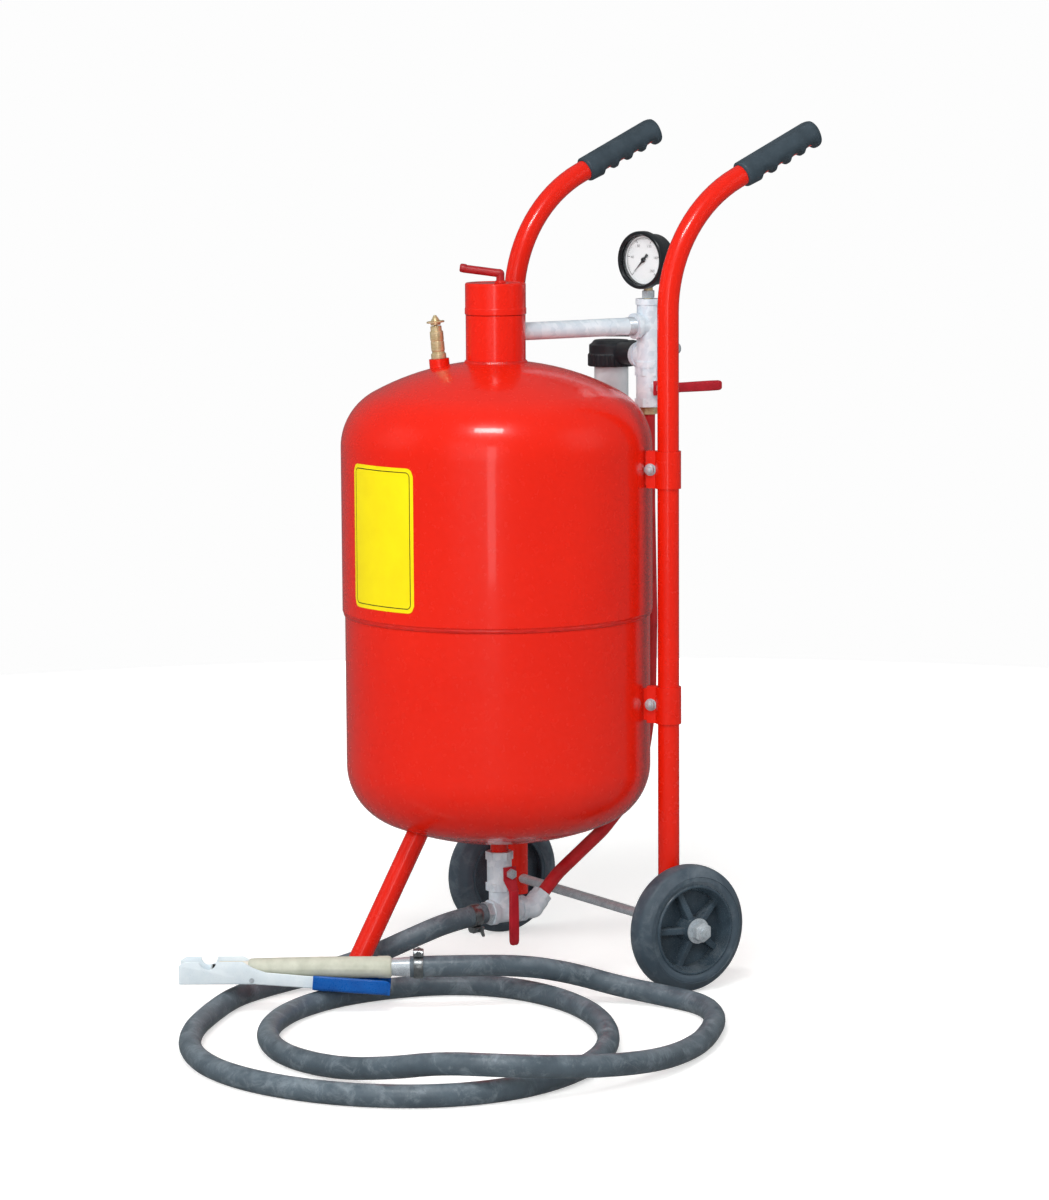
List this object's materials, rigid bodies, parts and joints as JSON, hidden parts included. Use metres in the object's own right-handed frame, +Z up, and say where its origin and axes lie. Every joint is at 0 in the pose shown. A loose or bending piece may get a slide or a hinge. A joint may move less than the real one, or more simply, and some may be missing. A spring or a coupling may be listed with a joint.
{
  "type": "pressure blaster tank",
  "caption": "Portable pressure blaster: red steel tank on a two-wheel hand truck, with filler cap, gauge, air filter, ball valves, hose and hand nozzle.",
  "frame": {"origin": "on the floor, under the middle of the object's outline without its free hose and nozzle", "axes": "+Z up; +X along the wheel axle; +Y towards the tipping handles, so the front leg is at -Y"},
  "size_m": [0.8068, 0.9003, 1.0233],
  "materials": {
    "red_enamel": "gloss",
    "lever_vinyl": "satin",
    "rubber_gasket": "matte",
    "brass": "satin",
    "spring_steel": "satin",
    "zinc_fitting": "satin",
    "gauge_black": "gloss",
    "dial_white": "satin",
    "lens": "gloss",
    "filter_black": "satin",
    "bowl_clear": "gloss",
    "filter_felt": "matte",
    "red_hose": "matte",
    "black_hose": "matte",
    "tyre_rubber": "matte",
    "hub_plastic": "satin",
    "grip_pvc": "matte",
    "plated_steel": "satin",
    "cast_metal": "matte",
    "ceramic": "satin",
    "blue_vinyl": "satin",
    "label_yellow": "gloss"
  },
  "bodies": {
    "blaster": {"lower_tank_shell": "red_enamel", "upper_tank_shell": "red_enamel", "filler_neck": "red_enamel", "safety_valve_body": "brass", "safety_valve_spring": "spring_steel", "neck_pipe": "zinc_fitting", "manifold_cross": "zinc_fitting", "gauge_case": "gauge_black", "gauge_dial": "dial_white", "gauge_bezel": "gauge_black", "gauge_lens": "lens", "filter_head": "filter_black", "filter_element": "filter_felt", "filter_bowl": "bowl_clear", "inlet_valve_body": "zinc_fitting", "air_inlet_plug": "plated_steel", "air_valve_body": "zinc_fitting", "air_hose_barb": "brass", "air_hose": "red_hose", "air_hose_elbow": "zinc_fitting", "media_valve_body": "zinc_fitting", "mixing_tee": "zinc_fitting", "tee_hose_barb": "zinc_fitting", "tee_hose_clamp": "plated_steel", "blast_hose": "black_hose", "nozzle_hose_clamp": "plated_steel", "nozzle_barb": "plated_steel", "nozzle_body": "cast_metal", "nozzle_tip": "ceramic", "nozzle_pivot_pin": "plated_steel", "nozzle_spring": "spring_steel", "left_upright": "red_enamel", "right_upright": "red_enamel", "left_grip": "grip_pvc", "right_grip": "grip_pvc", "upright_straps": "red_enamel", "strap_fasteners": "plated_steel", "axle": "plated_steel", "axle_fasteners": "plated_steel", "front_leg": "red_enamel", "tank_label": "label_yellow"},
    "gasket": {"cap_gasket": "rubber_gasket"},
    "cap": {"filler_cap": "red_enamel", "cap_handle": "red_enamel"},
    "relief_stem": {"safety_valve_stem": "brass"},
    "needle": {"gauge_needle": "gauge_black"},
    "inlet_handle": {"inlet_valve_handle": "filter_black"},
    "air_lever": {"air_valve_ball": "plated_steel", "air_valve_lever": "lever_vinyl", "air_valve_nut": "plated_steel"},
    "media_lever": {"media_valve_ball": "plated_steel", "media_valve_lever": "lever_vinyl", "media_valve_nut": "plated_steel"},
    "left_road_wheel": {"left_wheel": "hub_plastic", "left_tyre": "tyre_rubber"},
    "right_road_wheel": {"right_wheel": "hub_plastic", "right_tyre": "tyre_rubber"},
    "nozzle_trigger": {"nozzle_lever": "zinc_fitting", "nozzle_lever_grip": "blue_vinyl", "nozzle_seal_pad": "rubber_gasket"}
  },
  "joints": [
    {"name": "cap_lift", "type": "slide", "parent": "blaster", "child": "gasket", "axis": [0, 0, 1], "range_m": [0, 0.0221]},
    {"name": "cap_turn", "type": "hinge", "parent": "gasket", "child": "cap", "pos_m": [0, -0.0573, 0.81], "axis": [0, 0, 1], "range_deg": [0, 3600]},
    {"name": "relief_pull", "type": "slide", "parent": "blaster", "child": "relief_stem", "axis": [-0.0525, -0.0696, 0.9962], "range_m": [0, 0.003], "stiffness_N_per_m": 1500, "springref_m": -0.003, "deforming": ["safety_valve_spring"]},
    {"name": "needle_turn", "type": "hinge", "parent": "blaster", "child": "needle", "pos_m": [0.00233, 0.15401, 0.854], "axis": [-0.2588, 0.9659, 0], "range_deg": [0, 270], "stiffness_Nm_per_rad": 0.001},
    {"name": "inlet_turn", "type": "hinge", "parent": "blaster", "child": "inlet_handle", "pos_m": [-0.08, 0.2167, 0.738], "axis": [0, 0, 1], "range_deg": [-45, 45]},
    {"name": "air_valve_turn", "type": "hinge", "parent": "blaster", "child": "air_lever", "pos_m": [0, 0.1627, 0.7], "axis": [-1, 0, 0], "range_deg": [0, 90]},
    {"name": "media_valve_turn", "type": "hinge", "parent": "blaster", "child": "media_lever", "pos_m": [0, -0.0573, 0.127], "axis": [1, 0, 0], "range_deg": [0, 90]},
    {"name": "left_wheel_spin", "type": "hinge", "parent": "blaster", "child": "left_road_wheel", "pos_m": [-0.2018, 0.0759, 0.0762], "axis": [1, 0, 0], "continuous": true},
    {"name": "right_wheel_spin", "type": "hinge", "parent": "blaster", "child": "right_road_wheel", "pos_m": [0.2018, 0.0759, 0.0762], "axis": [1, 0, 0], "continuous": true},
    {"name": "nozzle_squeeze", "type": "hinge", "parent": "blaster", "child": "nozzle_trigger", "pos_m": [0.00352, -0.40072, 0.0404], "axis": [0.8387, -0.5446, 0], "range_deg": [0, 4.2], "stiffness_Nm_per_rad": 12, "springref_deg": -6.88, "deforming": ["nozzle_spring"]}
  ],
  "couplings": [
    {"joint": "cap_lift", "follows": "cap_turn", "m_per_rad": 0.00035014}
  ]
}
